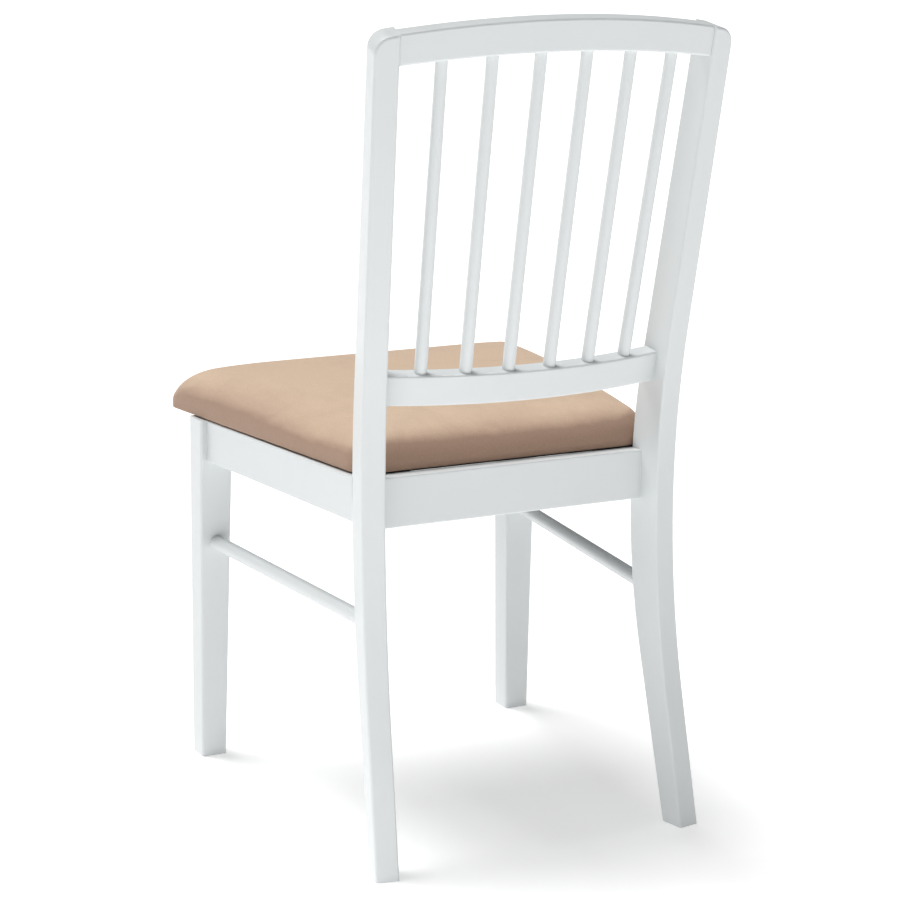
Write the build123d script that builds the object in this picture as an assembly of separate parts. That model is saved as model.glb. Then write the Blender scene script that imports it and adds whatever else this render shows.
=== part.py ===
from build123d import *

import os
from math import cos, hypot, radians, sin, tan

# Painted hardwood dining chair: sabre rear posts, six turned spindles between a crest rail and a
# lower back rail, tapered front legs, an apron frame and an upholstered seat pad that sits on top.
# Millimetres, +Z up. The chair faces -Y, its back is at +Y and the sitter's left is at +X.
# Pieces are laid out with Y = 0 midway between the front and rear feet; at the end they all move
# together, so that the origin lies on the floor under the middle of the whole chair's box.

# ---- heights ------------------------------------------------------------------------------------
frame_top = 426.0            # top of the front legs and the aprons, under the seat pad
back_height = 484.0          # from there to the rear top edge of the crest rail, at its middle
lower_rail_rise = 111.0      # and to the rear top edge of the lower back rail
knee_drop = 66.0             # a rear post's two straight runs meet this far below the frame's top

# ---- rear posts: flat sabre-shaped boards, turned outwards --------------------------------------
post_width = 26.5
post_turn = 10.8             # degrees that each board is turned about the vertical
post_knee_x = 175.0          # middle of the board's rear face where its two straight runs meet
post_knee_y = 182.0
post_kick = 69.0             # how far the foot stands behind the knee
back_lean = 10.9             # degrees that the post leans back above the knee
post_foot_depth = 32.0
post_knee_depth = 44.8
post_top_depth = 34.0
post_rear_radius = 1100.0    # bend of the rear edge at the knee
post_front_radius = 800.0    # bend of the front edge at the knee
post_shoulder_radius = 19.0  # rounding of the outer top corner

# ---- front legs: square, tapered on their inner faces -------------------------------------------
leg_outer_x = 225.5
leg_foot_front = -250.0
leg_top_front = -232.5
leg_foot_width = 31.5
leg_foot_depth = 32.8
leg_top_width = 41.0
leg_top_depth = 39.0

# ---- aprons and side stretchers -----------------------------------------------------------------
apron_thickness = 20.0
front_apron_height = 50.0
side_apron_height = 50.0
rear_apron_height = 56.0
apron_inset = 8.0            # front and side aprons lie this far inside the front legs' faces
rear_apron_setback = 4.0     # rear apron's rear face in front of the posts' knees
stretcher_diameter = 17.0
stretcher_tenon_diameter = 12.0
stretcher_tenon_length = 17.0
stretcher_front_inset = 20.3  # its axis inside the leg's outer face
stretcher_rear_offset = 3.5  # and outside the post's middle plane
stretcher_front_z = 274.0
stretcher_rear_z = 267.5

# ---- bowed back rails ---------------------------------------------------------------------------
rail_thickness = 22.0
crest_height = 34.5
crest_setback = 2.5          # its ends' rear face in front of the posts' rear arrises
crest_bow_radius = 830.0
crest_top_arch_radius = 1000.0
crest_bottom_arch_radius = 1100.0
lower_rail_height = 34.0
lower_rail_setback = 16.0
lower_rail_bow_radius = 650.0

# ---- spindles -----------------------------------------------------------------------------------
spindle_count = 6
spindle_margin_bottom = 40.0  # outermost axis to the rail's end
spindle_margin_top = 45.5
spindle_bottom_diameter = 14.0
spindle_top_diameter = 13.0
spindle_tenon_diameter = 10.0
spindle_tenon_length = 14.0

# ---- dowel pins, corner blocks and screws -------------------------------------------------------
dowel_diameter = 8.0
dowel_depth = 17.0           # how far a pin enters each of the two pieces
dowel_end_play = 0.5         # bore deeper than the pin at each end
glue_clearance = 0.1         # on the radius, round every pin and tenon
rail_dowel_pitch = 16.0
front_apron_dowel_drops = (25.0, 41.0)
side_apron_dowel_drops = (15.0, 35.0)
rear_apron_dowel_drops = (25.0, 45.0)
block_leg = 58.0             # length of a corner block along each apron
block_thickness = 22.0
block_drop = 2.0             # block's top below the aprons' top
block_screw_diameter = 4.0
block_screw_head_diameter = 8.0
block_screw_head_height = 3.0
block_screw_bite = 12.0      # length inside the apron
block_screw_wood = 14.0      # wood of the block under the screw's head
block_screw_offset = 38.0    # from the frame's inner corner, along each apron
seat_screw_offset = 24.0
screw_clearance = 0.25
seat_screw_diameter = 4.5
seat_screw_head_diameter = 9.0
seat_screw_head_height = 3.2
seat_screw_bite = 9.0        # length inside the seat board
driver_slot_width = 1.2
driver_slot_depth = 1.4

# ---- seat pad: board, foam, cover and dust cover ------------------------------------------------
pad_front_overhang = 69.5    # beyond the front legs
pad_side_overhang = 10.5     # front corners beyond the legs' outer faces
pad_rear_overhang = 3.5      # over the rear apron
pad_rear_inset = 7.7         # rear corners inside the side aprons' outer faces
pad_front_corner_radius = 25.0
pad_rear_corner_radius = 25.0
pad_thickness = 52.0
pad_top_radius = 24.0
pad_bottom_radius = 7.0
cover_thickness = 1.5
cover_hem = 22.0             # width of the cover folded in under the board
board_thickness = 12.0
board_inset = 5.0            # board inside the pad's outline
foam_gap = 0.2               # all round the foam
foam_lip = 6.0               # how far the foam comes down over the board's edge
board_ease = 2.5
dust_cover_thickness = 1.0
dust_cover_inset = 2.5        # inside the pad's outline at the rear
dust_cover_front_inset = 12.0
dust_cover_front_lap = 10.0   # over the side aprons, where they meet the front legs
dust_cover_rear_lap = 7.5     # and where they meet the rear posts

# ---- eased edges --------------------------------------------------------------------------------
post_ease = 3.0
leg_ease = 3.0
rail_ease = 2.5
apron_ease = 2.0
screw_head_ease = 1.0
trim = 60.0                  # length by which a blank overshoots before it is trimmed

crest_top = frame_top + back_height
lower_rail_top = frame_top + lower_rail_rise
knee_height = frame_top - knee_drop
rear_apron_y = post_knee_y - rear_apron_setback
rear_apron_inner_y = rear_apron_y - apron_thickness

LEFT, RIGHT = 1, -1
SIDES = {"left": LEFT, "right": RIGHT}


def biggest(shape):
    return shape.solids().sort_by(lambda solid: solid.volume)[-1]


def mirrored(shape, side):
    return shape if side == LEFT else mirror(shape, about=Plane.YZ)


def rod(start, end, diameter):
    """Round bar from one point to another."""
    axis = end - start
    return extrude(Plane(origin=start, z_dir=axis) * Circle(diameter / 2.0), axis.length)


def bore(start, end, diameter, end_play=0.0):
    """Cylinder to cut, wider than the bar by the glue clearance and longer by the end play."""
    reach = (end - start).normalized() * end_play
    return rod(start - reach, end + reach, diameter + 2.0 * glue_clearance)


def eased(shape, radius, shortest):
    """Round off every edge of a blank that is longer than a given length."""
    return fillet([edge for edge in shape.edges() if edge.length > shortest], radius)


# ---- rear posts ---------------------------------------------------------------------------------
turn = radians(post_turn)
post_back = Vector(sin(turn), cos(turn), 0.0)
post_outwards = Vector(cos(turn), -sin(turn), 0.0)
post_plane = Plane(
    origin=(post_knee_x, post_knee_y, 0.0), x_dir=tuple(post_back), z_dir=tuple(post_outwards)
)

inner_edge = Vector(post_knee_x, post_knee_y, 0.0) - post_outwards * (post_width / 2.0)


def post_middle_x(y):
    """Where the left post's middle plane stands at a given depth of the chair."""
    return post_knee_x + (y - post_knee_y) * tan(turn)


def post_inner_x(y):
    return inner_edge.X + (y - inner_edge.Y) * tan(turn)


def post_rear_y(z):
    """Rear inner arris of the posts' straight upper run at a given height."""
    rise = (z - knee_height) * tan(radians(back_lean))
    return inner_edge.Y + rise * cos(turn)


def sagitta(radius, x):
    return radius - (radius**2 - x**2) ** 0.5


def post_blank():
    """Sharp-edged left post, taller than the crest rail."""
    top_z = crest_top + trim
    top_back = (top_z - knee_height) * tan(radians(back_lean))
    rear_knee = (0.0, knee_height)
    front_knee = (-post_knee_depth, knee_height)
    outline = Polyline(
        (post_kick, 0.0),
        rear_knee,
        (top_back, top_z),
        (top_back - post_top_depth, top_z),
        front_knee,
        (post_kick - post_foot_depth, 0.0),
        close=True,
    )
    face = make_face(outline)
    knees = face.vertices().sort_by(lambda v: abs(v.Y - knee_height))[:2].sort_by(Axis.X)
    face = fillet(knees[1], post_rear_radius)
    knee_front = face.vertices().sort_by(
        lambda v: hypot(v.X - front_knee[0], v.Y - front_knee[1])
    )[0]
    face = fillet(knee_front, post_front_radius)
    return extrude(post_plane * face, post_width / 2.0, both=True)


def between_posts():
    """Space between the posts' inner faces, which trims the rails and the rear apron."""
    front = inner_edge - post_back * crest_top
    rear = inner_edge + post_back * crest_top
    outline = Polyline(
        (front.X, front.Y), (rear.X, rear.Y), (-rear.X, rear.Y), (-front.X, front.Y), close=True
    )
    return extrude(make_face(outline), crest_top + trim)


# ---- bowed rails --------------------------------------------------------------------------------
lean = radians(back_lean)
rail_up = Vector(0.0, sin(lean), cos(lean))
rail_back = Vector(0.0, cos(lean), -sin(lean))
half_blank = post_knee_x + trim


def bowed_slab(rear_top, height, bow_radius):
    """Leaning bowed board; rear_top is the middle of its rear top edge."""
    plane = Plane(origin=rear_top - rail_up * height / 2.0, x_dir=(1, 0, 0), z_dir=tuple(rail_up))
    ring = Circle(bow_radius) - Circle(bow_radius - rail_thickness)
    section = Pos(0.0, -bow_radius) * ring & Rectangle(2.0 * half_blank, bow_radius)
    return extrude(plane * section, height / 2.0, both=True)


def arch(rear_top, radius, drop):
    """Disc whose rim is the arched line drop below the crest rail's top."""
    plane = Plane(origin=rear_top, x_dir=(1, 0, 0), z_dir=tuple(rail_back))
    disc = Pos(0.0, drop + radius) * Circle(radius)
    return extrude(plane * disc, crest_top / 2.0, both=True)


def rail_rear_y(top_z, setback, bow_radius):
    """Rear face at the rail's middle, from where its bowed ends meet the posts."""
    end_y = post_rear_y(top_z) - setback
    end_y += sagitta(bow_radius, post_inner_x(end_y))
    return end_y


crest_rear_y = rail_rear_y(crest_top, crest_setback, crest_bow_radius)
crest_rear_top = Vector(0.0, crest_rear_y, crest_top)
crest_arch = arch(crest_rear_top, crest_top_arch_radius, 0.0)
crest_blank = biggest(
    (bowed_slab(crest_rear_top, 2.0 * crest_height, crest_bow_radius) & crest_arch)
    - arch(crest_rear_top, crest_bottom_arch_radius, crest_height)
)
lower_rear_y = rail_rear_y(lower_rail_top, lower_rail_setback, lower_rail_bow_radius)
lower_rear_top = Vector(0.0, lower_rear_y, lower_rail_top)
lower_blank = bowed_slab(lower_rear_top, lower_rail_height, lower_rail_bow_radius)
opening = between_posts()


def crest_point(x, share):
    """Point in the middle of the crest rail's thickness; share 0 is its top, 1 its bottom."""
    top_drop = sagitta(crest_top_arch_radius, x)
    bottom_drop = crest_height + sagitta(crest_bottom_arch_radius, x)
    drop = top_drop + (bottom_drop - top_drop) * share
    depth = rail_thickness / 2.0 + sagitta(crest_bow_radius, x)
    return crest_rear_top + Vector(x, 0.0, 0.0) - rail_up * drop - rail_back * depth


def lower_point(x, share):
    """The same for the lower back rail."""
    depth = rail_thickness / 2.0 + sagitta(lower_rail_bow_radius, x)
    drop = lower_rail_height * share
    return lower_rear_top + Vector(x, 0.0, 0.0) - rail_up * drop - rail_back * depth


def rail_joint(point_on_rail):
    """Middle of a rail's left end, on the post's inner face."""
    x = post_knee_x
    for _ in range(6):
        x = post_inner_x(point_on_rail(x, 0.5).Y)
    return point_on_rail(x, 0.5)


def pins_through(middle, direction, offsets):
    """Pin centres and directions of one joint, with its pins spaced along the offsets."""
    return [(middle + offset, direction) for offset in offsets]


# ---- front legs ---------------------------------------------------------------------------------
def tapered(plane, foot_edges, top_edges):
    """Trapezium on an upright plane, wide enough to pass through the leg both ways."""
    outline = Polyline(
        (foot_edges[0], 0.0),
        (foot_edges[1], 0.0),
        (top_edges[1], frame_top),
        (top_edges[0], frame_top),
        close=True,
    )
    return extrude(plane * make_face(outline), 2.0 * leg_outer_x, both=True)


def front_leg_blank():
    """The leg is sawn to its taper in the front view and in the side view."""
    front_view = tapered(
        Plane.XZ,
        (leg_outer_x - leg_foot_width, leg_outer_x),
        (leg_outer_x - leg_top_width, leg_outer_x),
    )
    side_view = tapered(
        Plane.YZ,
        (leg_foot_front, leg_foot_front + leg_foot_depth),
        (leg_top_front, leg_top_front + leg_top_depth),
    )
    return biggest(front_view & side_view)


leg_blank = front_leg_blank()
leg_rear_y = leg_top_front + leg_top_depth
leg_inner_x = leg_outer_x - leg_top_width

# ---- rear posts, trimmed to the arch of the crest rail and rounded at the shoulder --------------
post_trimmed = biggest(post_blank() & crest_arch)
post_top_edges = post_trimmed.edges().filter_by(lambda edge: edge.center().Z > knee_height * 2.0)
shoulder = [edge for edge in post_top_edges if abs((edge % 0.5).dot(post_outwards)) < 0.1]
shoulder = [edge for edge in shoulder if edge.length < 2.0 * post_top_depth]
post_shouldered = fillet(
    sorted(shoulder, key=lambda edge: edge.center().X)[-1], post_shoulder_radius
)


def is_post_arris(edge):
    """Edges between the broad faces and the narrow ones, without the foot and the crest joint."""
    middle = edge.center()
    if middle.Z < 1.0:
        return False
    across = abs((edge % 0.5).dot(post_outwards))
    on_top = middle.Z > crest_top - post_width
    at_crest = on_top and across < 0.1 and edge.length < 2.0 * post_top_depth
    return (across < 0.9 or on_top) and not at_crest


post_eased = fillet([edge for edge in post_shouldered.edges() if is_post_arris(edge)], post_ease)

# ---- aprons -------------------------------------------------------------------------------------
front_apron_y = leg_top_front + apron_inset
front_apron_inner_y = front_apron_y + apron_thickness
side_start = Vector(leg_outer_x - apron_inset, leg_rear_y, 0.0)
side_apron_rear_x = post_middle_x(rear_apron_inner_y) + post_width / 2.0
side_end = Vector(side_apron_rear_x, rear_apron_inner_y, 0.0)
side_along = (side_end - side_start).normalized()
side_inwards = Vector(-side_along.Y, side_along.X, 0.0)


def side_inner_x(y):
    """Where the left side apron's inner face stands at a given depth of the chair."""
    inner = side_start + side_inwards * apron_thickness
    return inner.X + (y - inner.Y) * side_along.X / side_along.Y


def board(corners, top_z, height):
    """Upright board over a plan outline, with its long edges eased."""
    outline = make_face(Polyline(*[(corner.X, corner.Y) for corner in corners], close=True))
    blank = extrude(Pos(0.0, 0.0, top_z - height) * outline, height)
    return eased(blank, apron_ease, leg_outer_x)


side_apron_corners = [
    side_start - side_along * trim,
    side_end + side_along * trim,
    side_end + side_along * trim + side_inwards * apron_thickness,
    side_start - side_along * trim + side_inwards * apron_thickness,
]
side_apron = biggest(
    board(side_apron_corners, frame_top, side_apron_height) - leg_blank - post_trimmed
)


def cross_board(rear_y, height):
    """Board across the chair, long enough to be trimmed at both ends."""
    corners = [
        Vector(-leg_outer_x, rear_y),
        Vector(leg_outer_x, rear_y),
        Vector(leg_outer_x, rear_y - apron_thickness),
        Vector(-leg_outer_x, rear_y - apron_thickness),
    ]
    return board(corners, frame_top, height)


front_apron = biggest(
    cross_board(front_apron_inner_y, front_apron_height) - leg_blank - mirrored(leg_blank, RIGHT)
)
rear_apron = biggest(cross_board(rear_apron_y, rear_apron_height) & opening)

# ---- back rails, trimmed between the posts ------------------------------------------------------
crest_rail = biggest(eased(crest_blank, rail_ease, half_blank) & opening)
lower_rail = biggest(eased(lower_blank, rail_ease, half_blank) & opening)

# ---- side stretchers, coped to the leg and the post ---------------------------------------------
stretcher_front = Vector(leg_outer_x - stretcher_front_inset, leg_rear_y, stretcher_front_z)
stretcher_rear_x = post_middle_x(rear_apron_inner_y) + stretcher_rear_offset
stretcher_rear = Vector(stretcher_rear_x, rear_apron_inner_y, stretcher_rear_z)
stretcher_along = (stretcher_rear - stretcher_front).normalized()
stretcher_blank = rod(
    stretcher_front - stretcher_along * trim,
    stretcher_rear + stretcher_along * trim,
    stretcher_diameter,
)
stretcher = biggest(stretcher_blank - leg_blank - post_trimmed)
stretcher_shoulders = [
    (stretcher.faces().sort_by(Axis.Y)[0].center(), -1.0 * stretcher_along),
    (stretcher.faces().sort_by(Axis.Y)[-1].center(), stretcher_along),
]
stretcher_bores = []
for shoulder_centre, outwards in stretcher_shoulders:
    inside = shoulder_centre - outwards * stretcher_tenon_diameter / 2.0
    tip = shoulder_centre + outwards * stretcher_tenon_length
    stretcher = stretcher + rod(inside, tip, stretcher_tenon_diameter)
    stretcher_bores.append(bore(inside, tip, stretcher_tenon_diameter, dowel_end_play))

# ---- spindles -----------------------------------------------------------------------------------
spindles = {}
spindle_bores = []
outermost_bottom = rail_joint(lower_point).X - spindle_margin_bottom
outermost_top = rail_joint(crest_point).X - spindle_margin_top
for index in range(spindle_count):
    place = 2.0 * index / (spindle_count - 1) - 1.0
    bottom = lower_point(place * outermost_bottom, 0.0)
    top = crest_point(place * outermost_top, 1.0)
    along = (top - bottom).normalized()
    sunk = along * spindle_bottom_diameter / 2.0
    body_plane = Plane(origin=(bottom + top) * 0.5, z_dir=along)
    body_length = (top - bottom + 2.0 * sunk).length
    body = Cone(spindle_bottom_diameter / 2.0, spindle_top_diameter / 2.0, body_length)
    body = biggest(body_plane * body - lower_blank - crest_blank)
    for end, outwards in ((bottom, -1.0 * along), (top, along)):
        tip = end + outwards * spindle_tenon_length
        body = body + rod(end - outwards * spindle_tenon_diameter, tip, spindle_tenon_diameter)
        spindle_bores.append(bore(end - outwards, tip, spindle_tenon_diameter, dowel_end_play))
    spindles[f"back_spindle_{index + 1}"] = body

# ---- dowel pins of the left half; the right half mirrors them -----------------------------------
up = Vector(0.0, 0.0, 1.0)
side_mid = side_inwards * apron_thickness / 2.0
side_rear_mid = side_apron.faces().sort_by(Axis.Y)[-1].center()
rear_mid_y = rear_apron_y - apron_thickness / 2.0
rail_offsets = [rail_up * rail_dowel_pitch * share for share in (-0.5, 0.5)]


def drops_below_top(drops):
    return [up * (frame_top - drop) for drop in drops]


pin_groups = {
    "apron_to_front_leg_dowels": pins_through(
        side_start + side_mid, side_along, drops_below_top(side_apron_dowel_drops)
    )
    + pins_through(
        Vector(leg_inner_x, front_apron_inner_y - apron_thickness / 2.0, 0.0),
        Vector(1.0, 0.0, 0.0),
        drops_below_top(front_apron_dowel_drops),
    ),
    "apron_to_rear_post_dowels": pins_through(
        Vector(side_rear_mid.X, side_rear_mid.Y, 0.0),
        side_along,
        drops_below_top(side_apron_dowel_drops),
    )
    + pins_through(
        Vector(post_inner_x(rear_mid_y), rear_mid_y, 0.0),
        post_outwards,
        drops_below_top(rear_apron_dowel_drops),
    ),
    "crest_rail_dowels": pins_through(rail_joint(crest_point), post_outwards, rail_offsets),
    "lower_back_rail_dowels": pins_through(rail_joint(lower_point), post_outwards, rail_offsets),
}


def pin_ends(pins):
    return [(middle - axis * dowel_depth, middle + axis * dowel_depth) for middle, axis in pins]


def pin_solids(pins):
    return [rod(start, end, dowel_diameter) for start, end in pin_ends(pins)]


def pin_bores(pins):
    return [bore(start, end, dowel_diameter, dowel_end_play) for start, end in pin_ends(pins)]


def both_sides(shapes):
    return list(shapes) + [mirrored(shape, RIGHT) for shape in shapes]


bores = {name: pin_bores(pins) for name, pins in pin_groups.items()}


# ---- corner blocks with their screws ------------------------------------------------------------
def screw(seat, axis, length, diameter, head_diameter, head_height):
    """Round-headed screw; its head sits on the seat point and the shank runs along the axis."""
    shank = rod(seat, seat + axis * length, diameter)
    head = rod(seat - axis * head_height, seat, head_diameter)
    rim = head.edges().sort_by(lambda edge: (edge.center() - seat).dot(axis))[0]
    head = fillet(rim, screw_head_ease)
    top = Plane(origin=seat - axis * head_height, z_dir=axis)
    slots = [
        Pos(0.0, 0.0, driver_slot_depth / 2.0) * Box(*size, driver_slot_depth)
        for size in (
            (head_diameter * 0.6, driver_slot_width),
            (driver_slot_width, head_diameter * 0.6),
        )
    ]
    return head + shank - [top * slot for slot in slots]


def screw_hole(seat, axis, length, diameter, head_diameter, access):
    """Clearance for the shank, and for the head with the driver's way to it."""
    hole = rod(seat, seat + axis * length, diameter + 2.0 * screw_clearance)
    return hole + rod(seat - axis * access, seat, head_diameter + 2.0 * screw_clearance)


block_screws = []
block_screw_holes = []
seat_screws = []
seat_screw_holes = []
corner_blocks = {}
pad_bottom = frame_top + dust_cover_thickness
board_bottom = pad_bottom + cover_thickness
block_top = frame_top - block_drop
block_bottom = block_top - block_thickness
seat_screw_length = board_bottom + seat_screw_bite - block_bottom
overlap = apron_thickness / 4.0

for place, corner_y, facing in (
    ("front", front_apron_inner_y, 1.0),
    ("rear", rear_apron_inner_y, -1.0),
):
    corner_x = side_inner_x(corner_y)
    into = Vector(0.0, facing, 0.0)
    far_y = corner_y + facing * block_leg
    outline = Polyline(
        (corner_x - block_leg, corner_y - facing * overlap),
        (corner_x - block_leg, corner_y),
        (side_inner_x(far_y), far_y),
        (side_inner_x(far_y) + overlap, far_y),
        (corner_x + overlap, corner_y - facing * overlap),
        close=True,
    )
    block = extrude(Pos(0.0, 0.0, block_bottom) * make_face(outline), block_thickness)
    block = block - [front_apron, rear_apron, side_apron, leg_blank, post_trimmed]
    mid_z = block_bottom + block_thickness / 2.0
    screw_y = corner_y + facing * block_screw_offset
    cross_face = Vector(corner_x - block_screw_offset, corner_y, mid_z)
    side_face = Vector(side_inner_x(screw_y), screw_y, mid_z)
    screw_seats = [
        (cross_face + into * block_screw_wood, -1.0 * into),
        (side_face + side_inwards * block_screw_wood, -1.0 * side_inwards),
    ]
    for seat, axis in screw_seats:
        length = block_screw_wood + block_screw_bite
        block_screws.append(
            screw(
                seat,
                axis,
                length,
                block_screw_diameter,
                block_screw_head_diameter,
                block_screw_head_height,
            )
        )
        hole = screw_hole(
            seat, axis, length, block_screw_diameter, block_screw_head_diameter, block_leg
        )
        block_screw_holes.append(hole)
        block = block - hole
    seat = Vector(
        corner_x - seat_screw_offset, corner_y + facing * seat_screw_offset, block_bottom
    )
    seat_screws.append(
        screw(
            seat,
            up,
            seat_screw_length,
            seat_screw_diameter,
            seat_screw_head_diameter,
            seat_screw_head_height,
        )
    )
    hole = screw_hole(
        seat, up, seat_screw_length, seat_screw_diameter, seat_screw_head_diameter, block_thickness
    )
    seat_screw_holes.append(hole)
    corner_blocks[place] = biggest(block - hole)


# ---- seat pad -----------------------------------------------------------------------------------
pad_front_y = leg_top_front - pad_front_overhang
pad_rear_y = rear_apron_inner_y + pad_rear_overhang
pad_front_half_width = leg_outer_x + pad_side_overhang
pad_rear_half_width = side_apron_rear_x - pad_rear_inset


def pad_outline(inset):
    corners = Polyline(
        (-pad_front_half_width, pad_front_y),
        (pad_front_half_width, pad_front_y),
        (pad_rear_half_width, pad_rear_y),
        (-pad_rear_half_width, pad_rear_y),
        close=True,
    )
    face = make_face(corners)
    front = face.vertices().sort_by(Axis.Y)[:2]
    rear = face.vertices().sort_by(Axis.Y)[2:]
    face = fillet(front, pad_front_corner_radius)
    rear = [v for v in face.vertices() if min((v - r).center().length for r in rear) < 0.01]
    face = fillet(rear, pad_rear_corner_radius)
    return offset(face, -inset) if inset else face


def pad_layer(inset, bottom, top, top_radius=0.0, bottom_radius=0.0):
    """Slab of the pad's outline, with its upper and lower rims rounded."""
    layer = extrude(Pos(0.0, 0.0, bottom) * pad_outline(inset), top - bottom)
    if top_radius:
        layer = fillet(layer.faces().sort_by(Axis.Z)[-1].edges(), top_radius)
    if bottom_radius:
        layer = fillet(layer.faces().sort_by(Axis.Z)[0].edges(), bottom_radius)
    return layer


pad_top = pad_bottom + pad_thickness
board_top = board_bottom + board_thickness
cover_outside = pad_layer(0.0, pad_bottom, pad_top, pad_top_radius, pad_bottom_radius)
cover_inside = pad_layer(
    cover_thickness,
    board_bottom,
    pad_top - cover_thickness,
    pad_top_radius - cover_thickness,
    pad_bottom_radius - cover_thickness,
)
seat_cover = biggest(cover_outside - cover_inside - pad_layer(cover_hem, frame_top, board_bottom))
seat_board = pad_layer(
    cover_thickness + board_inset, board_bottom, board_top, bottom_radius=board_ease
)
foam_outside = pad_layer(
    cover_thickness + foam_gap,
    board_top - foam_lip,
    pad_top - cover_thickness - foam_gap,
    pad_top_radius - cover_thickness - foam_gap,
)
board_room = pad_layer(
    cover_thickness + board_inset - foam_gap, board_bottom, board_top + foam_gap
)
seat_foam = biggest(foam_outside - board_room)


def dust_cover_cut():
    """Flat cloth that laps over the aprons and runs on under the pad's front overhang."""
    front_x = side_inner_x(leg_rear_y) + dust_cover_front_lap
    rear_x = side_inner_x(rear_apron_inner_y) + dust_cover_rear_lap
    splay = (rear_x - front_x) / (rear_apron_inner_y - leg_rear_y)
    corners = [
        (front_x + splay * (y - leg_rear_y), y)
        for y in (pad_front_y + dust_cover_front_inset, pad_rear_y)
    ]
    outline = Polyline(*corners, *[(-x, y) for x, y in reversed(corners)], close=True)
    cloth = extrude(Pos(0.0, 0.0, frame_top) * make_face(outline), dust_cover_thickness)
    return cloth & pad_layer(dust_cover_inset, frame_top, pad_bottom)


dust_cover = biggest(dust_cover_cut())

# ---- pieces -------------------------------------------------------------------------------------
front_leg = eased(leg_blank, leg_ease, leg_outer_x)
leg_cuts = bores["apron_to_front_leg_dowels"] + stretcher_bores[:1]
post_cuts = (
    bores["apron_to_rear_post_dowels"]
    + bores["crest_rail_dowels"]
    + bores["lower_back_rail_dowels"]
    + stretcher_bores[1:]
)
apron_cuts = (
    bores["apron_to_front_leg_dowels"] + bores["apron_to_rear_post_dowels"] + block_screw_holes
)
handed = {
    "rear_post": post_eased - post_cuts,
    "front_leg": front_leg - leg_cuts,
    "side_apron": side_apron - apron_cuts,
    "side_stretcher": stretcher,
    "front_corner_block": corner_blocks["front"],
    "rear_corner_block": corner_blocks["rear"],
}
pieces = {
    f"{name}_{side}": mirrored(shape, hand)
    for name, shape in handed.items()
    for side, hand in SIDES.items()
}
pieces["front_apron"] = front_apron - both_sides(apron_cuts)
pieces["rear_apron"] = rear_apron - both_sides(apron_cuts)
pieces["crest_rail"] = crest_rail - both_sides(bores["crest_rail_dowels"]) - spindle_bores
pieces["lower_back_rail"] = (
    lower_rail - both_sides(bores["lower_back_rail_dowels"]) - spindle_bores
)
pieces.update(spindles)
pieces["seat_cover"] = seat_cover
pieces["seat_foam"] = seat_foam
pieces["seat_board"] = seat_board - both_sides(seat_screw_holes)
pieces["dust_cover"] = dust_cover - both_sides(seat_screw_holes)
pieces["corner_block_screws"] = Compound(both_sides(block_screws))
pieces["seat_fixing_screws"] = Compound(both_sides(seat_screws))
for name, pins in pin_groups.items():
    pieces[name] = Compound(both_sides(pin_solids(pins)))

boxes = [piece.bounding_box() for piece in pieces.values()]
middle_y = (min(box.min.Y for box in boxes) + max(box.max.Y for box in boxes)) / 2.0
os.makedirs("parts", exist_ok=True)
for name, piece in pieces.items():
    export_step(Pos(0.0, -middle_y, 0.0) * piece, f"parts/{name}.step")
print(len(pieces), "pieces; moved along Y by", round(-middle_y, 3))
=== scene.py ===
"""Looks of a painted spindle-back dining chair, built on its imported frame."""

import math

import bmesh
import bpy
from bpy.props import FloatProperty, FloatVectorProperty, IntProperty, PointerProperty
from mathutils import Matrix, Vector


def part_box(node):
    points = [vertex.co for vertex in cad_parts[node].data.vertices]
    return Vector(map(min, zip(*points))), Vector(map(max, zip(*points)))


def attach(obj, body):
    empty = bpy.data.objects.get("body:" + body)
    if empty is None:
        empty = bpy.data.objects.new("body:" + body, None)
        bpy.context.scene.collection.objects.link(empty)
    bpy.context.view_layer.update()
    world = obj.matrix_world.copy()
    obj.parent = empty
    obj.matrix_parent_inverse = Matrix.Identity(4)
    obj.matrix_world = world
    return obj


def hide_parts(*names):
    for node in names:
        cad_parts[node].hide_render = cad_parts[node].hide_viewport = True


bl_info = {
    "name": "Spindle Back Dining Chair",
    "version": (1, 0, 0),
    "blender": (4, 5, 0),
    "location": "View3D > Sidebar > Chair",
    "description": "Finishes, seat pad and studio for a painted dining chair",
    "category": "Add Mesh",
}

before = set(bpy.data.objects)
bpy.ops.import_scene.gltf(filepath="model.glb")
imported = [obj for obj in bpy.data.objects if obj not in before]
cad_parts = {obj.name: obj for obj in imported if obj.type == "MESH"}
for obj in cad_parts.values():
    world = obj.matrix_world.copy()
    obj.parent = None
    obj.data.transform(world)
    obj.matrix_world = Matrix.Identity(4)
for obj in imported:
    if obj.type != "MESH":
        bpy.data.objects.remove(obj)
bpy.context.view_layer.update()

MM = 0.001
ROOT = "root"
WHITE = (1.0, 1.0, 1.0, 1.0)

REAR_ZONE = 26.0 * MM    # depth of the cover's rear corners
HELD_ZONE = 1.5 * MM     # height of the part of the cover that is tacked to the board
FLAT_ZONE = 2.0 * MM     # height of the underside that smoothing leaves flat
LEAST_HEIGHT = 0.08      # share of the pad's height that is left wherever its rim gives way
CORNER_STEPS = 8
TUCK_STEPS = 4
STEEP = 0.9              # cosine that tells a level face or an upright edge
REAR_NAP_AND_SHADE = -0.4         # how far the cloth darkens where it faces the rear: partly the nap, partly painted shade
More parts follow.
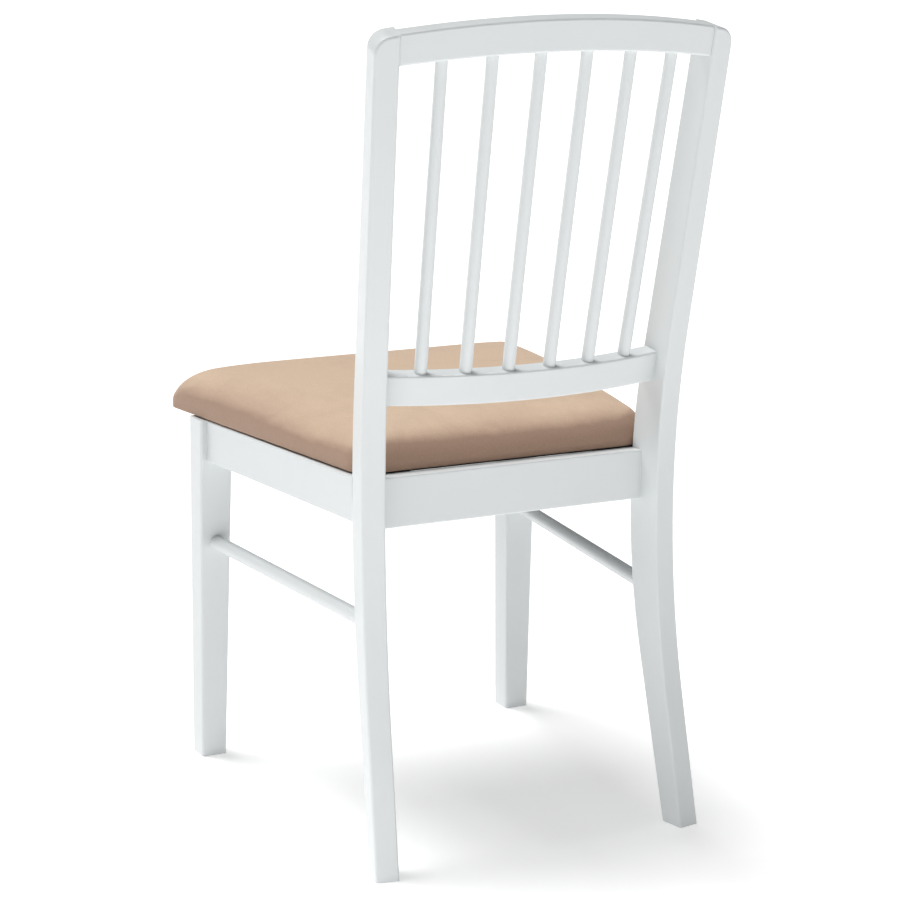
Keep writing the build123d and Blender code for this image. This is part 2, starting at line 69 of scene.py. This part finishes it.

# Painted pieces by the way their grain runs.
UPRIGHT = (
    "rear_post_left", "rear_post_right", "front_leg_left", "front_leg_right",
    "back_spindle_1", "back_spindle_2", "back_spindle_3",
    "back_spindle_4", "back_spindle_5", "back_spindle_6",
)
CROSSWISE = ("crest_rail", "lower_back_rail", "front_apron", "rear_apron")
LENGTHWISE = ("side_apron_left", "side_apron_right", "side_stretcher_left", "side_stretcher_right")
BLOCKS = (
    "front_corner_block_left", "front_corner_block_right",
    "rear_corner_block_left", "rear_corner_block_right",
)
PINS = (
    "apron_to_front_leg_dowels", "apron_to_rear_post_dowels",
    "crest_rail_dowels", "lower_back_rail_dowels",
)
SCREWS = ("corner_block_screws", "seat_fixing_screws")


# ---- settings -----------------------------------------------------------------------------------
def colour(name, description, value):
    return FloatVectorProperty(
        name=name, description=description, default=value, subtype="COLOR",
        size=3, min=0.0, max=1.0,
    )


def length(name, description, value, low=0.0, high=1.0):
    return FloatProperty(
        name=name, description=description, default=value, min=low, max=high,
        subtype="DISTANCE", unit="LENGTH",
    )


class ChairFinish(bpy.types.PropertyGroup):
    """Colours of the chair's finishes"""

    paint: colour("Paint", "Lacquer on the wooden frame", (0.715, 0.745, 0.752))
    # Thin Paint is a paler lacquer colour, used along the arrises and in faint random patches.
    paint_pale: colour("Thin Paint", "Lacquer where it thins over an arris", (0.86, 0.865, 0.86))
    # Nap Light is the cloth facing up and Nap Dark the cloth facing sideways and to the rear:
    # partly the nap, partly painted light and shade.
    nap_open_and_lit: colour("Nap Light", "Seat cloth where the nap lies open", (0.685, 0.505, 0.362))
    nap_shut_and_shaded: colour("Nap Dark", "Seat cloth where the nap is brushed shut", (0.36, 0.235, 0.17))
    raw_wood: colour("Raw Wood", "Unpainted beech of the pins", (0.52, 0.35, 0.20))
    dust_cloth: colour("Dust Cloth", "Black cloth under the seat", (0.012, 0.012, 0.013))


class SeatPadShape(bpy.types.PropertyGroup):
    """Shape of the stuffed seat pad"""

    shrink: length("Shrink", "Pad before stuffing, inside its finished outline", 0.001)
    front_height: length("Front Height", "Height of the front side before stuffing", 0.048)
    rear_height: length("Rear Height", "Height of the rear side before stuffing", 0.036)
    crown: length("Crown", "Rise of the top's middle before stuffing", 0.007)
    roll: length("Roll", "Rounding of the pad's upper rim", 0.012)
    tuck: length("Tuck", "Rounding where the cover turns under the board", 0.004)
    corner: length("Corner", "Rounding of the pad's corners in plan", 0.026)
    softness: FloatVectorProperty(
        name="Softness", description="How far the rim gives way along each side, as a share of the "
        "pad's height: left, right, front, rear", default=(0.75, 0.0, 0.15, 0.82), size=4,
    )
    soft_reach: FloatVectorProperty(
        name="Soft Reach", description="How far in from the rim the pad gives way: left, right, "
        "front, rear", default=(0.060, 0.050, 0.070, 0.038), size=4, unit="LENGTH",
    )
    lift: length("Lift", "How far the middle of the right side stands above a level rim", 0.010)
    droop: FloatProperty(
        name="Droop", description="How far the front left corner is pulled down, as a share of the "
        "pad's height", default=0.31,
    )
    droop_reach: length("Droop Reach", "How far from that corner the cover is pulled down", 0.13)
    voxel: length("Mesh Size", "Size of the cover's mesh", 0.005, 0.002)
    pressure: FloatProperty(
        name="Pressure", description="How hard the foam fills the cover", default=0.6, min=0.0
    )
    travel: length("Travel", "Furthest that the stuffing moves the cover", 0.022)
    steps: IntProperty(name="Steps", description="Steps of the stuffing", default=20, min=1)
    smoothing: IntProperty(name="Smoothing", description="Passes that smooth the cover", default=2)


class StudioShape(bpy.types.PropertyGroup):
    """Camera and lights"""

    view_turn: FloatProperty(
        name="Turn", description="Camera's turn from straight behind towards the left side",
        default=math.radians(25.91), subtype="ANGLE", unit="ROTATION",
    )
    view_drop: FloatProperty(
        name="Drop", description="How far the camera looks down",
        default=math.radians(12.35), subtype="ANGLE", unit="ROTATION",
    )
    view_roll: FloatProperty(
        name="Roll", description="Camera's tilt to one side",
        default=math.radians(-0.21), subtype="ANGLE", unit="ROTATION",
    )
    camera: FloatVectorProperty(
        name="Camera", description="Camera's place", default=(1.2075, 2.5024, 1.0154),
        subtype="TRANSLATION", unit="LENGTH", size=3,
    )
    lens: FloatProperty(name="Lens", description="Focal length in millimetres", default=98.4)
    floor_size: FloatProperty(name="Floor", description="Side of the floor", default=90.0)
    room: FloatProperty(name="Room", description="Light from the white room", default=0.27)
    window: FloatProperty(name="Window", description="Light from overhead", default=2.65)
    window_spread: FloatProperty(
        name="Window Spread", description="How wide the overhead light is",
        default=math.radians(35.0), subtype="ANGLE", unit="ROTATION",
    )
    floor_fill: FloatProperty(
        name="Floor Fill", description="Light from the floor behind the chair, in watts",
        default=1.2,
    )


# ---- shader helpers -----------------------------------------------------------------------------
class Nodes:
    """Small helper that adds nodes to one material and joins them."""

    def __init__(self, name):
        self.material = bpy.data.materials.new(name)
        self.material.use_nodes = True
        self.tree = self.material.node_tree
        self.shader = self.tree.nodes["Principled BSDF"]
        self.surface = self.add("ShaderNodeTexCoord").outputs["Object"]

    def add(self, kind, **values):
        node = self.tree.nodes.new(kind)
        for key, value in values.items():
            setattr(node, key, value)
        return node

    def join(self, source, target):
        self.tree.links.new(source, target)

    def stretched(self, scale):
        node = self.add("ShaderNodeMapping")
        node.inputs["Scale"].default_value = scale
        self.join(self.surface, node.inputs["Vector"])
        return node.outputs["Vector"]

    def noise(self, vector, scale, detail=3.0, roughness=0.5, distortion=0.0):
        node = self.add("ShaderNodeTexNoise")
        self.join(vector, node.inputs["Vector"])
        node.inputs["Scale"].default_value = scale
        node.inputs["Detail"].default_value = detail
        node.inputs["Roughness"].default_value = roughness
        node.inputs["Distortion"].default_value = distortion
        return node.outputs["Fac"]

    def span(self, value, low, high, out_low=0.0, out_high=1.0):
        node = self.add("ShaderNodeMapRange")
        self.join(value, node.inputs["Value"])
        node.inputs["From Min"].default_value = low
        node.inputs["From Max"].default_value = high
        node.inputs["To Min"].default_value = out_low
        node.inputs["To Max"].default_value = out_high
        return node.outputs["Result"]

    def math(self, operation, first, second):
        node = self.add("ShaderNodeMath", operation=operation)
        for socket, value in zip(node.inputs, (first, second)):
            if isinstance(value, (int, float)):
                socket.default_value = value
            else:
                self.join(value, socket)
        return node.outputs["Value"]

    def mix(self, factor, first, second):
        node = self.add("ShaderNodeMix", data_type="RGBA")
        self.join(factor, node.inputs["Factor"])
        for socket, value in ((node.inputs["A"], first), (node.inputs["B"], second)):
            if isinstance(value, bpy.types.NodeSocket):
                self.join(value, socket)
            else:
                socket.default_value = (*value, 1.0)
        return node.outputs["Result"]

    def bump(self, height, distance, strength=1.0, under=None):
        node = self.add("ShaderNodeBump")
        node.inputs["Distance"].default_value = distance
        node.inputs["Strength"].default_value = strength
        self.join(height, node.inputs["Height"])
        if under is not None:
            self.join(under, node.inputs["Normal"])
        return node.outputs["Normal"]

    def arris(self, radius, sharpness):
        """1 along the edges of a piece and 0 on its flats."""
        bevel = self.add("ShaderNodeBevel", samples=6)
        bevel.inputs["Radius"].default_value = radius
        geometry = self.add("ShaderNodeNewGeometry")
        dot = self.add("ShaderNodeVectorMath", operation="DOT_PRODUCT")
        self.join(bevel.outputs["Normal"], dot.inputs[0])
        self.join(geometry.outputs["Normal"], dot.inputs[1])
        return self.span(dot.outputs["Value"], 1.0, 1.0 - sharpness)

    def corner_shade(self, distance):
        """Painted shade mask: 1 in the open and less in corners and joints, from ambient occlusion.
        """
        node = self.add("ShaderNodeAmbientOcclusion", samples=6)
        node.inputs["Distance"].default_value = distance
        return node.outputs["AO"]

    def finish(self, colour, roughness, normal=None, **constants):
        for value, socket in ((colour, "Base Color"), (roughness, "Roughness")):
            if isinstance(value, bpy.types.NodeSocket):
                self.join(value, self.shader.inputs[socket])
            elif socket == "Base Color":
                self.shader.inputs[socket].default_value = (*value, 1.0)
            else:
                self.shader.inputs[socket].default_value = value
        if normal is not None:
            self.join(normal, self.shader.inputs["Normal"])
        for name, value in constants.items():
            words = [word if word.isupper() else word.title() for word in name.split("_")]
            self.shader.inputs[" ".join(words)].default_value = value
        return self.material


def shown_in(material, names):
    """Give CAD nodes a finish in place of their plain one."""
    for name in names:
        for material_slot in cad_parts[name].material_slots:
            material_slot.material = material


# ---- finishes -----------------------------------------------------------------------------------
def painted_wood(name, finish, along):
    """Satin lacquer sprayed over wood: the grain and the spray's texture stay faintly in it, and
    corners and joints carry painted shade.
    """
    squeeze = tuple(0.06 if axis == along else 1.0 for axis in "XYZ")
    nodes = Nodes(name)
    grain = nodes.noise(nodes.stretched(squeeze), 420.0, 4.0, 0.6, 0.4)
    ripple = nodes.noise(nodes.stretched(squeeze), 60.0, 2.0, 0.5, 0.2)
    spray = nodes.noise(nodes.surface, 1500.0, 2.0)
    cloud = nodes.noise(nodes.surface, 9.0, 3.0)
    edge = nodes.arris(1.6 * MM, 0.22)
    # The paint is paler along the arrises, in patches.
    paler_arris = nodes.math("MULTIPLY", edge, nodes.span(nodes.noise(nodes.surface, 38.0), 0.42, 0.62))
    tone = nodes.mix(nodes.span(cloud, 0.3, 0.7, 0.0, 0.10), finish.paint, finish.paint_pale)
    tone = nodes.mix(nodes.math("MULTIPLY", paler_arris, 0.7), tone, finish.paint_pale)
    # Painted shade: the paint is up to 12 percent darker in corners and joints.
    shade = nodes.span(nodes.corner_shade(14.0 * MM), 0.25, 0.8, 0.88, 1.0)
    shaded_tone = nodes.add("ShaderNodeVectorMath", operation="SCALE")
    nodes.join(tone, shaded_tone.inputs["Vector"])
    nodes.join(shade, shaded_tone.inputs["Scale"])
    roughness = nodes.span(nodes.noise(nodes.surface, 70.0), 0.3, 0.7, 0.34, 0.46)
    normal = nodes.bump(ripple, 0.12 * MM, 0.35)
    normal = nodes.bump(grain, 0.05 * MM, 0.5, normal)
    normal = nodes.bump(spray, 0.015 * MM, 0.6, normal)
    return nodes.finish(shaded_tone.outputs["Vector"], roughness, normal, coat_weight=0.15,
                        coat_roughness=0.25)


def napped_cloth(name, finish):
    """Brushed microfibre, lighter facing up and darker down its sides and facing the rear: partly
    the nap's lie, partly painted light and shade.
    """
    nodes = Nodes(name)
    cloud = nodes.noise(nodes.surface, 11.0, 3.0, 0.55, 0.6)
    stroke = nodes.noise(nodes.stretched((1.0, 0.35, 1.0)), 46.0, 3.0, 0.6, 0.8)
    nap = nodes.math("ADD", nodes.math("MULTIPLY", cloud, 0.6), nodes.math("MULTIPLY", stroke, 0.4))
    pile = nodes.noise(nodes.surface, 1300.0, 2.0, 0.6)
    speck = nodes.noise(nodes.surface, 420.0, 2.0, 0.6)
    facing = nodes.add("ShaderNodeSeparateXYZ")
    nodes.join(nodes.add("ShaderNodeNewGeometry").outputs["Normal"], facing.inputs["Vector"])
    # Painted light and shade: the tone follows the surface's facing, lighter facing up and darker
    # facing the rear, partly for the nap and partly for the light.
    rear_nap_and_shade = nodes.math("MULTIPLY", facing.outputs["Y"], REAR_NAP_AND_SHADE)
    upward_nap_and_light = nodes.math("ADD", facing.outputs["Z"], rear_nap_and_shade)
    facing_nap_and_light = nodes.math("ADD", upward_nap_and_light, nodes.span(nap, 0.35, 0.65, -0.07, 0.07))
    tone = nodes.mix(nodes.span(facing_nap_and_light, 0.5, 0.995), finish.nap_shut_and_shaded, finish.nap_open_and_lit)
    fibre = nodes.span(pile, 0.3, 0.7, 0.90, 1.08)
    shade = nodes.math("MULTIPLY", fibre, nodes.span(speck, 0.3, 0.7, 0.96, 1.04))
    shaded_tone = nodes.add("ShaderNodeVectorMath", operation="SCALE")
    nodes.join(tone, shaded_tone.inputs["Vector"])
    nodes.join(shade, shaded_tone.inputs["Scale"])
    roughness = nodes.span(nap, 0.35, 0.65, 0.78, 0.92)
    normal = nodes.bump(nap, 0.9 * MM, 0.25)
    normal = nodes.bump(pile, 0.22 * MM, 0.55, normal)
    return nodes.finish(shaded_tone.outputs["Vector"], roughness, normal, sheen_weight=0.35,
                        sheen_roughness=0.45, sheen_tint=(1.0, 0.90, 0.80, 1.0),
                        specular_IOR_level=0.25)


def raw_beech(name, finish):
    nodes = Nodes(name)
    grain = nodes.noise(nodes.stretched((0.05, 1.0, 1.0)), 520.0, 4.0, 0.6, 0.5)
    fleck = nodes.noise(nodes.stretched((0.05, 1.0, 1.0)), 1600.0, 2.0)
    dark = tuple(0.62 * value for value in finish.raw_wood)
    tone = nodes.mix(nodes.span(grain, 0.40, 0.66), finish.raw_wood, dark)
    return nodes.finish(tone, 0.68, nodes.bump(fleck, 0.06 * MM, 0.5))


def plywood(name, finish):
    """Veneer faces with thin darker plies that show round the edge."""
    nodes = Nodes(name)
    grain = nodes.noise(nodes.stretched((1.0, 0.05, 1.0)), 260.0, 4.0, 0.6, 0.5)
    plies = nodes.add("ShaderNodeTexWave", wave_type="BANDS", bands_direction="Z")
    nodes.join(nodes.surface, plies.inputs["Vector"])
    plies.inputs["Scale"].default_value = 130.0
    plies.inputs["Distortion"].default_value = 0.4
    pale = tuple(1.05 * value for value in finish.raw_wood)
    dark = tuple(0.55 * value for value in finish.raw_wood)
    tone = nodes.mix(nodes.span(grain, 0.35, 0.7, 0.0, 0.6), pale, dark)
    tone = nodes.mix(nodes.span(plies.outputs["Fac"], 0.45, 0.6, 0.0, 0.5), tone, dark)
    return nodes.finish(tone, 0.72, nodes.bump(grain, 0.08 * MM, 0.5))


def open_foam(name):
    nodes = Nodes(name)
    cells = nodes.add("ShaderNodeTexVoronoi")
    nodes.join(nodes.surface, cells.inputs["Vector"])
    cells.inputs["Scale"].default_value = 900.0
    depth = nodes.span(cells.outputs["Distance"], 0.1, 0.7)
    tone = nodes.mix(depth, (0.42, 0.34, 0.17), (0.72, 0.63, 0.40))
    return nodes.finish(tone, 0.9, nodes.bump(cells.outputs["Distance"], 0.4 * MM, 0.7))


def felted_cloth(name, finish):
    """Spun-bonded cloth with its pattern of small pressed dots."""
    nodes = Nodes(name)
    dots = nodes.add("ShaderNodeTexVoronoi")
    nodes.join(nodes.surface, dots.inputs["Vector"])
    dots.inputs["Scale"].default_value = 520.0
    dots.inputs["Randomness"].default_value = 0.25
    fibre = nodes.noise(nodes.surface, 900.0, 4.0, 0.7, 0.8)
    light = tuple(3.2 * value for value in finish.dust_cloth)
    tone = nodes.mix(nodes.span(fibre, 0.4, 0.75), finish.dust_cloth, light)
    normal = nodes.bump(nodes.span(dots.outputs["Distance"], 0.1, 0.35), 0.12 * MM, 0.6)
    return nodes.finish(tone, 0.85, nodes.bump(fibre, 0.1 * MM, 0.5, normal), sheen_weight=0.1)


def zinc_plate(name):
    nodes = Nodes(name)
    brush = nodes.noise(nodes.surface, 1100.0, 3.0, 0.6)
    cloud = nodes.noise(nodes.surface, 240.0, 2.0)
    tone = nodes.mix(nodes.span(cloud, 0.35, 0.65), (0.46, 0.47, 0.49), (0.66, 0.66, 0.65))
    roughness = nodes.span(brush, 0.3, 0.7, 0.26, 0.44)
    return nodes.finish(tone, roughness, nodes.bump(brush, 0.02 * MM, 0.5), metallic=1.0)


# ---- mesh helpers -------------------------------------------------------------------------------
def as_object(bm, name, material):
    """Turn a bmesh into a piece that stands in place in the chair's own frame."""
    bmesh.ops.recalc_face_normals(bm, faces=bm.faces)
    for face in bm.faces:
        face.smooth = True
    mesh = bpy.data.meshes.new(name)
    bm.to_mesh(mesh)
    bm.free()
    mesh.materials.append(material)
    piece = bpy.data.objects.new(name, mesh)
    bpy.context.scene.collection.objects.link(piece)
    return piece


def only(piece):
    """Make a piece the one that operators and modifiers work on."""
    bpy.ops.object.select_all(action="DESELECT")
    piece.select_set(True)
    bpy.context.view_layer.objects.active = piece


def bevelled(bm, edges, offset, segments):
    bmesh.ops.bevel(
        bm, geom=edges, offset=offset, offset_type="OFFSET", segments=segments,
        affect="EDGES", profile=0.5, material=-1,
    )


def widest_face(bm, facing):
    """Largest face that looks up (1) or down (-1)."""
    bm.normal_update()
    level = [face for face in bm.faces if face.normal.z * facing > STEEP]
    return max(level, key=lambda face: face.calc_area())


def is_upright(edge):
    first, second = (vert.co for vert in edge.verts)
    return abs((first - second).normalized().z) > STEEP


# ---- seat pad -----------------------------------------------------------------------------------
def pad_block(shape):
    """The pad before it is stuffed: a slab over a trapezium, with its corners and rims rounded."""
    low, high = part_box("seat_cover")
    rear_half = pad_rear_half_width()
    bottom = low.z
    bm = bmesh.new()
    bmesh.ops.create_cube(bm, size=1.0)
    for vert in bm.verts:
        front = vert.co.y < 0.0
        half = (high.x if front else rear_half) - shape.shrink
        height = shape.front_height if front else shape.rear_height
        vert.co.x = math.copysign(half, vert.co.x)
        vert.co.y = low.y + shape.shrink if front else high.y - shape.shrink
        vert.co.z = bottom + height if vert.co.z > 0.0 else bottom
    upright = [edge for edge in bm.edges if is_upright(edge)]
    bevelled(bm, upright, shape.corner, CORNER_STEPS)
    bevelled(bm, widest_face(bm, 1.0).edges[:], shape.roll, CORNER_STEPS)
    bevelled(bm, widest_face(bm, -1.0).edges[:], shape.tuck, TUCK_STEPS)
    return bm, bottom


def pad_rear_half_width():
    """Half width of the pad at its rear edge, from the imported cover's own vertices."""
    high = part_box("seat_cover")[1]
    places = [vert.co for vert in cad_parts["seat_cover"].data.vertices]
    return max(abs(co.x) for co in places if co.y > high.y - REAR_ZONE)


def sunk(distance, reach):
    """0 in from a rim and 1 at it, following a quarter of an ellipse."""
    outwards = max(0.0, 1.0 - max(0.0, distance) / reach)
    return 1.0 - math.sqrt(1.0 - outwards * outwards)


def relaxed(piece, shape, bottom):
    """Crown the top, soften the rim where the foam gives way, and pull one corner down."""
    low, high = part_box("seat_cover")
    rear_half = pad_rear_half_width()
    middle, reach = (low.y + high.y) / 2.0, (high.y - low.y) / 2.0
    for vert in piece.data.vertices:
        x, y, z = vert.co
        back = (y - low.y) / (high.y - low.y)
        half = high.x + (rear_half - high.x) * back
        kept = 1.0
        distances = (half - x, half + x, y - low.y, high.y - y)
        for distance, soft, reach_in in zip(distances, shape.softness, shape.soft_reach):
            kept -= soft * sunk(distance, reach_in)
        corner = math.hypot(x - high.x, y - low.y)
        kept = max(LEAST_HEIGHT, kept - shape.droop * sunk(corner, shape.droop_reach))
        across = max(0.0, 1.0 - (x / half) ** 2)
        along = max(0.0, 1.0 - ((y - middle) / reach) ** 2)
        rise = shape.crown * across * along
        if x < 0.0:
            rise += shape.lift * along * (x / half) ** 2
        vert.co.z = bottom + (z - bottom) * (kept + rise / shape.front_height)


def stuffed(piece, shape, bottom):
    """Fill the cover under pressure, held where it lies on the board, and keep the result."""
    rest = [vert.co.copy() for vert in piece.data.vertices]
    held = piece.vertex_groups.new(name="held")
    for vert in piece.data.vertices:
        if vert.co.z < bottom + HELD_ZONE:
            held.add([vert.index], 1.0, "REPLACE")
    cloth = piece.modifiers.new("stuffing", "CLOTH")
    settings = cloth.settings
    settings.quality = 6
    settings.mass = 0.35
    settings.tension_stiffness = 22.0
    settings.compression_stiffness = 22.0
    settings.shear_stiffness = 8.0
    settings.bending_stiffness = 6.0
    settings.air_damping = 2.0
    settings.use_pressure = True
    settings.uniform_pressure_force = shape.pressure
    settings.vertex_group_mass = held.name
    settings.effector_weights.gravity = 0.0
    cloth.point_cache.frame_start = 1
    cloth.point_cache.frame_end = shape.steps
    scene = bpy.context.scene
    for step in range(1, shape.steps + 1):
        scene.frame_set(step)
    graph = bpy.context.evaluated_depsgraph_get()
    filled = piece.evaluated_get(graph).to_mesh()
    places = []
    for before, vert in zip(rest, filled.vertices):
        move = vert.co - before
        if move.length > shape.travel:
            move *= shape.travel / move.length
        place = before + move
        place.z = max(place.z, bottom)
        places.append(place)
    piece.evaluated_get(graph).to_mesh_clear()
    piece.modifiers.remove(cloth)
    piece.vertex_groups.clear()
    scene.frame_set(1)
    for vert, place in zip(piece.data.vertices, places):
        vert.co = place
    piece.data.update()


def subdivided(piece):
    modifier = piece.modifiers.new("smooth cover", "SUBSURF")
    modifier.levels = modifier.render_levels = 1


class CHAIR_OT_seat_cover(bpy.types.Operator):
    """Cut, sew and stuff the seat cover"""

    bl_idname = "chair.seat_cover"
    bl_label = "Seat Cover"

    def execute(self, context):
        shape = context.scene.seat_pad
        bm, bottom = pad_block(shape)
        cloth = napped_cloth("tan_napped_cloth", context.scene.chair_finish)
        cover = as_object(bm, "seat_cover_cloth", cloth)
        only(cover)
        cover.data.remesh_voxel_size = shape.voxel
        cover.data.use_remesh_preserve_volume = True
        bpy.ops.object.voxel_remesh()
        relaxed(cover, shape, bottom)
        stuffed(cover, shape, bottom)
        bm = bmesh.new()
        bm.from_mesh(cover.data)
        for _ in range(shape.smoothing):
            loose = [vert for vert in bm.verts if vert.co.z > bottom + FLAT_ZONE]
            bmesh.ops.smooth_vert(
                bm, verts=loose, factor=0.5, use_axis_x=True, use_axis_y=True, use_axis_z=True
            )
        for face in bm.faces:
            face.smooth = True
        bm.to_mesh(cover.data)
        bm.free()
        subdivided(cover)
        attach(cover, ROOT)
        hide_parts("seat_cover", "seat_foam")
        return {"FINISHED"}


# ---- finishes on the CAD pieces -----------------------------------------------------------------
class CHAIR_OT_frame_paint(bpy.types.Operator):
    """Lacquer the wooden frame, with the grain along each piece"""

    bl_idname = "chair.frame_paint"
    bl_label = "Frame Paint"

    def execute(self, context):
        finish = context.scene.chair_finish
        shown_in(painted_wood("white_lacquer_upright", finish, "Z"), UPRIGHT)
        shown_in(painted_wood("white_lacquer_crosswise", finish, "X"), CROSSWISE + BLOCKS)
        shown_in(painted_wood("white_lacquer_lengthwise", finish, "Y"), LENGTHWISE)
        return {"FINISHED"}


class CHAIR_OT_joinery(bpy.types.Operator):
    """Finish the dowel pins and the screws"""

    bl_idname = "chair.joinery"
    bl_label = "Joinery"

    def execute(self, context):
        shown_in(raw_beech("turned_beech", context.scene.chair_finish), PINS)
        shown_in(zinc_plate("zinc_plated_steel"), SCREWS)
        return {"FINISHED"}


class CHAIR_OT_seat_core(bpy.types.Operator):
    """Finish the seat board, the foam and the dust cover"""

    bl_idname = "chair.seat_core"
    bl_label = "Seat Core"

    def execute(self, context):
        finish = context.scene.chair_finish
        shown_in(plywood("birch_plywood", finish), ("seat_board",))
        shown_in(open_foam("upholstery_foam"), ("seat_foam",))
        shown_in(felted_cloth("black_dust_cloth", finish), ("dust_cover",))
        return {"FINISHED"}


# ---- studio -------------------------------------------------------------------------------------
def soft_light(name, place, target, size, power):
    """Low wide light that stands for the bright floor behind the chair."""
    light = bpy.data.lights.new(name, "AREA")
    light.shape = "RECTANGLE"
    light.size, light.size_y = size
    light.energy = power
    lamp = bpy.data.objects.new(name, light)
    lamp.location = place
    lamp.rotation_euler = (Vector(target) - Vector(place)).to_track_quat("-Z", "Y").to_euler()
    bpy.context.scene.collection.objects.link(lamp)


def soft_sun(name, towards, strength, spread):
    """Wide overhead light, as from a large diffuser above the front of the left side."""
    light = bpy.data.lights.new(name, "SUN")
    light.energy = strength
    light.angle = spread
    lamp = bpy.data.objects.new(name, light)
    lamp.rotation_euler = Vector(towards).to_track_quat("Z", "Y").to_euler()
    bpy.context.scene.collection.objects.link(lamp)


def pale_floor(size):
    bm = bmesh.new()
    bmesh.ops.create_grid(bm, x_segments=1, y_segments=1, size=size / 2.0)
    nodes = Nodes("pale_floor")
    mottle = nodes.noise(nodes.surface, 3.0, 2.0)
    tone = nodes.mix(mottle, (0.93, 0.93, 0.93), (0.95, 0.95, 0.95))
    glow = nodes.finish(tone, 0.9, specular_IOR_level=0.1, emission_strength=0.40)
    nodes.shader.inputs["Emission Color"].default_value = WHITE
    floor = as_object(bm, "floor", glow)


class CHAIR_OT_studio(bpy.types.Operator):
    """Set up the floor, the lights and the camera"""

    bl_idname = "chair.studio"
    bl_label = "Studio"

    def execute(self, context):
        scene = context.scene
        studio = scene.chair_studio
        pale_floor(studio.floor_size)
        world = bpy.data.worlds.new("white_room")
        world.use_nodes = True
        walls = world.node_tree.nodes["Background"]
        walls.inputs["Color"].default_value = WHITE
        walls.inputs["Strength"].default_value = studio.room
        scene.world = world
        soft_sun(
            "sky_window", towards=(0.24, -0.42, 1.0), strength=studio.window,
            spread=studio.window_spread,
        )
        soft_light(
            "floor_glow", place=(0.42, 0.72, 0.08), target=(0.0, 0.15, 0.12),
            size=(1.4, 0.12), power=studio.floor_fill,
        )
        scene.view_settings.view_transform = "Standard"
        turn, drop = studio.view_turn, studio.view_drop
        forward = Vector(
            (-math.sin(turn) * math.cos(drop), -math.cos(turn) * math.cos(drop), -math.sin(drop))
        )
        lens = bpy.data.cameras.new("camera")
        lens.lens = studio.lens
        lens.sensor_width = 36.0
        lens.clip_end = 200.0
        camera = bpy.data.objects.new("camera", lens)
        level = forward.to_track_quat("-Z", "Y").to_matrix().to_4x4()
        roll = Matrix.Rotation(studio.view_roll, 4, "Z")
        camera.matrix_world = Matrix.Translation(studio.camera) @ level @ roll
        scene.collection.objects.link(camera)
        scene.camera = camera
        return {"FINISHED"}


# ---- panel --------------------------------------------------------------------------------------
STEPS = (
    CHAIR_OT_frame_paint,
    CHAIR_OT_joinery,
    CHAIR_OT_seat_core,
    CHAIR_OT_seat_cover,
    CHAIR_OT_studio,
)


class CHAIR_PT_panel(bpy.types.Panel):
    """Chair tools in the sidebar"""

    bl_idname = "CHAIR_PT_panel"
    bl_label = "Dining Chair"
    bl_space_type = "VIEW_3D"
    bl_region_type = "UI"
    bl_category = "Chair"

    def draw(self, context):
        column = self.layout.column()
        for group in SETTINGS:
            settings = getattr(context.scene, group)
            for name in settings.__annotations__:
                column.prop(settings, name)
        for step in STEPS:
            column.operator(step.bl_idname)


CLASSES = (ChairFinish, SeatPadShape, StudioShape, *STEPS, CHAIR_PT_panel)
SETTINGS = {"chair_finish": ChairFinish, "seat_pad": SeatPadShape, "chair_studio": StudioShape}


def register():
    for cls in CLASSES:
        bpy.utils.register_class(cls)
    for name, group in SETTINGS.items():
        setattr(bpy.types.Scene, name, PointerProperty(type=group))


def unregister():
    for name in SETTINGS:
        delattr(bpy.types.Scene, name)
    for cls in reversed(CLASSES):
        bpy.utils.unregister_class(cls)


def main():
    register()
    for step in STEPS:
        area, name = step.bl_idname.split(".")
        getattr(getattr(bpy.ops, area), name)()


if __name__ == "__main__":
    main()
